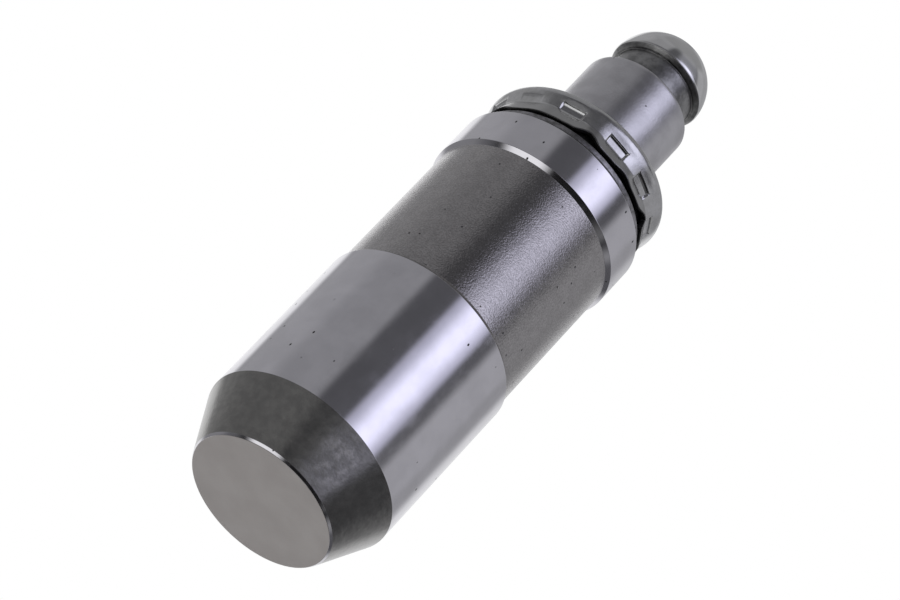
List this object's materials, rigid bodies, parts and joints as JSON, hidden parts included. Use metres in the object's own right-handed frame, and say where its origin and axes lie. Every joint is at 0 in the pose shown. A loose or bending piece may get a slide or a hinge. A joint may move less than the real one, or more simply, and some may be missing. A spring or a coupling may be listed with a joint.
{
  "type": "hydraulic valve lifter",
  "caption": "Pivot-type hydraulic valve lifter: ground steel body with an oil groove, sprung ball-headed plunger, ball check valve and a snapped-on retaining cap.",
  "frame": {"origin": "centre of the foot's face, on the axis", "axes": "+Z along the axis from the foot to the ball head; +Y is the side with the oil feed hole, and -Y faces the picture's camera"},
  "size_m": [0.012, 0.012, 0.0412],
  "materials": {
    "ground_steel": "ground lands, dark satin groove and foot cone",
    "cap_sheet": "drawn sheet, dark grey satin",
    "plunger_steel": "fine satin",
    "bearing_steel": "polished",
    "spring_wire": "drawn wire"
  },
  "bodies": {
    "housing": {"body": "ground_steel", "retaining_cap": "cap_sheet", "return_spring": "spring_wire"},
    "pressure_piston": {"lower_plunger": "plunger_steel", "check_valve_cage": "cap_sheet", "valve_spring": "spring_wire"},
    "pivot": {"ball_plunger": "plunger_steel"},
    "valve": {"check_ball": "bearing_steel"}
  },
  "joints": [
    {"name": "plunger_slide", "type": "slide", "parent": "housing", "child": "pressure_piston", "axis": [0, 0, 1], "range_m": [-0.0032, 0], "stiffness_N_per_m": 4000, "springref_m": 0.005, "deforming": ["return_spring"]},
    {"name": "plunger_spin", "type": "hinge", "parent": "pressure_piston", "child": "pivot", "pos_m": [0, 0, 0.0186], "axis": [0, 0, 1], "continuous": true},
    {"name": "check_ball_lift", "type": "slide", "parent": "pressure_piston", "child": "valve", "axis": [0, 0, 1], "range_m": [-0.00033, 0], "stiffness_N_per_m": 300, "springref_m": 0.0008, "deforming": ["valve_spring"]}
  ]
}
